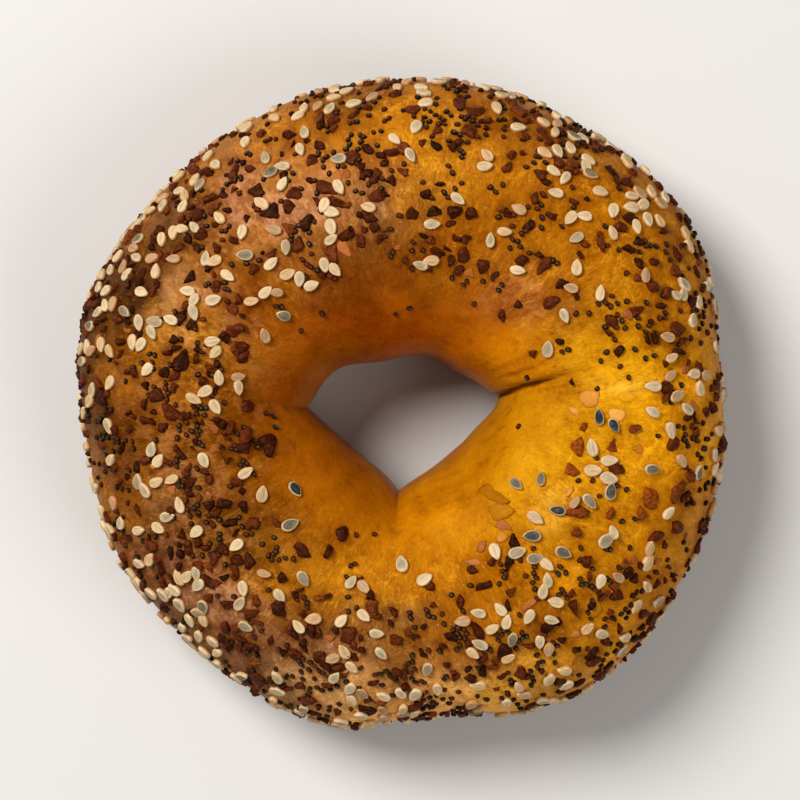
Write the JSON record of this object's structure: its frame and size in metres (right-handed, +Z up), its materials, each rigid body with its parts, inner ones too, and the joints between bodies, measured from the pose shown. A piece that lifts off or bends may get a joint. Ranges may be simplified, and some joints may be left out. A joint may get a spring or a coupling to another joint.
{
  "type": "bagel",
  "caption": "Ring-shaped boiled bread roll with a browned crust, dried onion flakes and sesame seeds fused to its top and sides, and an uneven three-cornered hole.",
  "frame": {"origin": "middle of the footprint, on the surface that the bagel lies on", "axes": "+Z up through the hole, +X to the right and +Y to the top of the bagel as seen from above"},
  "size_m": [0.1098, 0.1103, 0.0374],
  "materials": {
    "crust": null
  },
  "bodies": {
    "root": {"bagel": "crust"}
  },
  "joints": []
}
